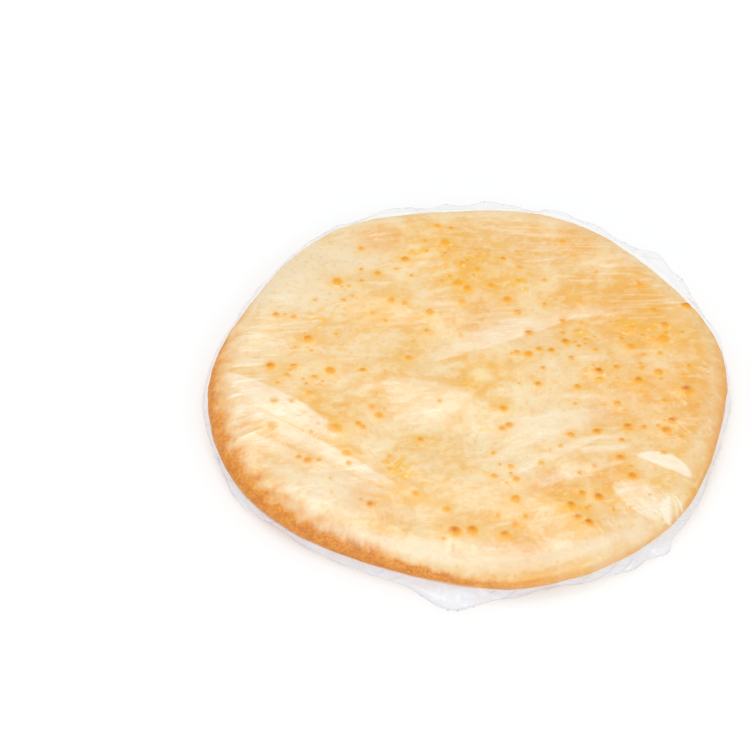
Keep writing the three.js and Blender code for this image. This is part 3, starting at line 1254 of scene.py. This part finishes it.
# Sums are a start and then the weight of each mask, in the order in which the material names them
crust = {
    "pale": tone(235, 190, 110),
    "cream": tone(240, 217, 170),
    "tan": tone(232, 168, 72),
    "floury": tone(233, 216, 186),
    "halo": tone(240, 180, 56),
    "curd": tone(240, 180, 50),
    "crumb": tone(243, 217, 154),
    "gold": tone(242, 168, 20),
    "cap": tone(204, 110, 26),
    "bandLight": tone(234, 160, 66),
    "bandDeepShaded": tone(206, 122, 40),
    "clouds": {
        "broad": dict(Scale=38, Detail=2, Distortion=0.4, Low=0.4, High=0.6),
        "patchy": dict(Scale=110, Detail=4, Distortion=0.2, Low=0.4, High=0.62),
        "flour": dict(
            Scale=270, Detail=6, Distortion=0.2, Low=0.48, High=0.58, Heading=0.25, Stretch=1.7
        ),
        "flakes": dict(Scale=480, Detail=3, Distortion=0.3, Low=0.56, High=0.64),
        "freckle": dict(Scale=420, Detail=1, Low=0.5, High=0.74),
        "pores": dict(Scale=900, Detail=4, Low=0.3, High=0.7),
    },
    "layers": {  # each mask's strength and colour
        "floury": (0.8, "floury"),
        "flour": (0.5, "cream"),
        "flakes": (0.35, "floury"),
        "freckle": (0.3, "tan"),
        "halo": (0.5, "halo"),
        "curd": (0.95, "curd"),
        "crumb": (1.2, "crumb"),
    },
    "flourSum": (1, -0.6),
    "tanSum": (-0.06, 0.78, 0.3),
    "bandSum": (0.1, -0.125, 1.25),
    "bandSoftness": 0.4,
    "deepSum": (-0.85, 0.3, 0.7, 1),
    "roughSum": (0.62, -0.2, 0.1),
    "grain": {"Strength": 0.6, "Distance": 0.00006},
    "shader": {
        "Specular IOR Level": 0.2,
        "Subsurface Weight": 0.1,
        "Subsurface Radius": (0.003, 0.0015, 0.001),
        "Subsurface Scale": 1,
    },
}


def newMaterial(name):
    made = bpy.data.materials.new(name)
    made.use_nodes = True
    tree = made.node_tree
    return made, tree, tree.nodes["Principled BSDF"]


def addBump(tree, shader, height, settings):
    bump = addNode(tree, "ShaderNodeBump")
    setSockets(bump, settings)
    tree.links.new(height, bump.inputs["Height"])
    tree.links.new(bump.outputs["Normal"], shader.inputs["Normal"])


def makeCrust():
    made, tree, shader = newMaterial("bakedDough")
    clouds = {name: addClouds(tree, settings) for name, settings in crust["clouds"].items()}
    tan = readMask(tree, "tan")
    bakedAndShaded = readMask(tree, "bakedAndShaded")
    gold = readMask(tree, "gold")
    flour = times(tree, clouds["flour"], addUp(tree, crust["flourSum"], tan))
    spread = {
        "flour": flour,
        "flakes": times(tree, clouds["flakes"], clouds["broad"]),
        "freckle": clouds["freckle"],
    }
    colour = mixColours(tree, clouds["broad"], crust["pale"], crust["cream"])
    tanShare = addUp(tree, crust["tanSum"], tan, clouds["patchy"], clamp=True)
    colour = mixColours(tree, tanShare, colour, crust["tan"])
    for name, (strength, paint) in crust["layers"].items():
        mask = spread[name] if name in spread else readMask(tree, name)
        colour = mixColours(tree, times(tree, mask, strength, clamp=True), colour, crust[paint])
    speckled = calculate(tree, "ADD", flour, clouds["freckle"])
    # partly painted shade: the band's colour deepens towards its lower edge
    deeperShaded = addUp(tree, crust["deepSum"], speckled, clouds["pores"], bakedAndShaded, clamp=True)
    bandColour = mixColours(tree, deeperShaded, crust["bandLight"], crust["bandDeepShaded"])
    bandLimit = calculate(tree, "POWER", bakedAndShaded, crust["bandSoftness"])
    bandShare = times(tree, addUp(tree, crust["bandSum"], speckled, bakedAndShaded), bandLimit, clamp=True)
    colour = mixColours(tree, bandShare, colour, bandColour)
    colour = mixColours(tree, gold, colour, crust["gold"])
    colour = mixColours(tree, readMask(tree, "cap"), colour, crust["cap"])
    tree.links.new(colour, shader.inputs["Base Color"])
    rough = addUp(tree, crust["roughSum"], gold, clouds["patchy"])
    tree.links.new(rough, shader.inputs["Roughness"])
    addBump(tree, shader, clouds["pores"], crust["grain"])
    setSockets(shader, crust["shader"])
    return made


filmFinish = {
    "overBread": tone(255, 250, 234),
    # over the floor, painted cooler to offset the warm light bounced onto the floor there
    "overFloor": tone(225, 229, 237),
    # painted shade: grey for the fold lines and the lip
    "foldShadeLine": tone(178, 186, 204),
    "grazing": 5,  # how steeply its mirror grows towards grazing angles
    "mirrorSum": (0.03, 0.5, 0.1),
    "milkAndSheenSum": (0, 0.5, 0.3, 1),
    "wholeSum": (0, 1, 0.7),
    "lowerSum": (1, -0.8),  # the sheet that lies on the floor shows less
    "lightSum": (1, -0.85),  # milky film still lets most light through to the bread
    "roughSum": (0.11, -0.06, 0.12),
    "lines": dict(Scale=950, Detail=1, Low=0.57, High=0.72, Stretch=60),
    "sheenStrokes": dict(
        Scale=300, Detail=3, Distortion=0.5, Low=0.5, High=0.7, Heading=math.radians(12), Stretch=7
    ),
    "sheenStrokePlaces": dict(Scale=45, Detail=2, Low=0.42, High=0.6),
    "haze": dict(Scale=40, Detail=2, Low=0.35, High=0.7),
    "waves": dict(Scale=160, Detail=3, Low=0.35, High=0.65),
    "bump": {"Strength": 0.5, "Distance": 0.0002},
}


def makeHairlineGlints(tree):
    # painted glints: thin white lines that run one way in each region, also used as a little bump
    total = 0.0
    for name, heading, _ in hairlineGlints:
        lines = addClouds(tree, {**filmFinish["lines"], "Heading": math.radians(heading)})
        total = calculate(tree, "ADD", total, times(tree, lines, readMask(tree, name)))
    return total


def makeClearFilm():
    # thin film: a weak mirror that lets the rest of the light by, stronger at grazing angles, and
    # # milky where it stands off the bread or is crumpled; most of that milky white is painted sheen and
    # glints, and fold lines are painted grey shade
    made, tree, shader = newMaterial("clearFilm")
    crease = readMask(tree, "crease")
    facing = addNode(tree, "ShaderNodeLayerWeight").outputs["Facing"]
    grazing = calculate(tree, "POWER", facing, filmFinish["grazing"])
    mirror = addUp(tree, filmFinish["mirrorSum"], grazing, crease)
    lines = makeHairlineGlints(tree)
    # painted sheen: soft white wisps over the inner film
    sheenWisps = times(tree, addClouds(tree, filmFinish["sheenStrokes"]), addClouds(tree, filmFinish["sheenStrokePlaces"]))
    sheenWisps = times(tree, sheenWisps, readMask(tree, "inner"))
    # the milky white share: mostly painted glints and sheen, with some real haze
    milkAndSheen = addUp(tree, filmFinish["milkAndSheenSum"], lines, sheenWisps, readMask(tree, "milkAndSheen"), clamp=True)
    whole = addUp(tree, filmFinish["wholeSum"], mirror, milkAndSheen)
    tree.links.new(calculate(tree, "DIVIDE", mirror, whole, clamp=True), shader.inputs["Metallic"])
    tint = mixColours(tree, readMask(tree, "skirt"), filmFinish["overBread"], filmFinish["overFloor"])
    # painted shade: the fold lines and the lip are tinted grey
    tint = mixColours(tree, readMask(tree, "foldShadeLine"), tint, filmFinish["foldShadeLine"])
    tree.links.new(tint, shader.inputs["Base Color"])
    whole = times(tree, whole, addUp(tree, filmFinish["lowerSum"], readMask(tree, "lowerSheet")))
    ray = addNode(tree, "ShaderNodeLightPath").outputs
    unseen = calculate(tree, "MAXIMUM", ray["Is Shadow Ray"], ray["Is Diffuse Ray"])
    whole = times(tree, whole, addUp(tree, filmFinish["lightSum"], unseen), clamp=True)
    tree.links.new(whole, shader.inputs["Alpha"])
    haze = addClouds(tree, filmFinish["haze"])
    rough = addUp(tree, filmFinish["roughSum"], crease, haze, clamp=True)
    tree.links.new(rough, shader.inputs["Roughness"])
    relief = calculate(tree, "ADD", addClouds(tree, filmFinish["waves"]), lines)
    addBump(tree, shader, relief, filmFinish["bump"])
    return made


breadPiece = showPiece("khachapuri_bread", makeBreadMesh(), makeCrust())
print("bread made")
filmPiece = showPiece("clear_film", makeFilmMesh(), makeClearFilm())
print("film made")
for piece in (breadPiece, filmPiece):
    print(piece.name, sum(len(face.vertices) - 2 for face in piece.data.polygons), "triangles")

for piece, node, slot in ((breadPiece, "bread", "baked_dough"), (filmPiece, "film", "clear_film")):
    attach(piece, "root")
    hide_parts(node)

# Stage: a light table, large soft lights and a bright surrounding
white = (1, 1, 1, 1)
stage = {
    "floorSize": 8.0,
    "floorColours": (tone(197, 199, 200), tone(198, 200, 201)),
    "clouds": dict(Scale=3, Detail=2, Low=0.3, High=0.7),
    "floor": {
        "Roughness": 0.9,
        "Specular IOR Level": 0.1,
        "Emission Color": white,
        "Emission Strength": 0.385,
    },
    "surround": {"Color": white, "Strength": 0.72},
}

# Softboxes: name, heading from the right round to the back, elevation, distance, width, height, and
# brightness of the face
softboxes = [
    ("backLeft", 116, 67, 1.9, 1.3, 0.95, 2.2),
    ("overhead", -90, 80, 1.7, 1.6, 0.7, 1.0),
    ("frontFill", -66, 30, 2.0, 1.4, 0.8, 1.65),
    ("lowFront", -104, 15, 1.9, 2.2, 0.7, 0.8),
]


def makeFloor():
    half = stage["floorSize"] / 2
    corners = [(-half, -half, 0), (half, -half, 0), (half, half, 0), (-half, half, 0)]
    made, tree, shader = newMaterial("floor")
    colour = mixColours(tree, addClouds(tree, stage["clouds"]), *stage["floorColours"])
    tree.links.new(colour, shader.inputs["Base Color"])
    setSockets(shader, stage["floor"])
    floor = showPiece("floor", meshFrom("floor", corners, [(0, 1, 2, 3)]), made)


def makeLights():
    for name, heading, elevation, distance, width, height, brightness in softboxes:
        data = bpy.data.lights.new(name, "AREA")
        data.shape = "RECTANGLE"
        data.size = width
        data.size_y = height
        data.energy = brightness * math.pi * width * height
        level, lift = wayOf(elevation)
        out = Vector((*(level * part for part in wayOf(heading)), lift))
        light = bpy.data.objects.new(name, data)
        light.location = out * distance
        light.rotation_euler = (-out).to_track_quat("-Z", "Y").to_euler()
        bpy.context.scene.collection.objects.link(light)


def makeSurround():
    world = bpy.data.worlds.new("surround")
    bpy.context.scene.world = world
    world.use_nodes = True
    setSockets(world.node_tree.nodes["Background"], stage["surround"])


makeFloor()
makeLights()
makeSurround()
bpy.context.scene.view_settings.view_transform = "Standard"
print("stage set")
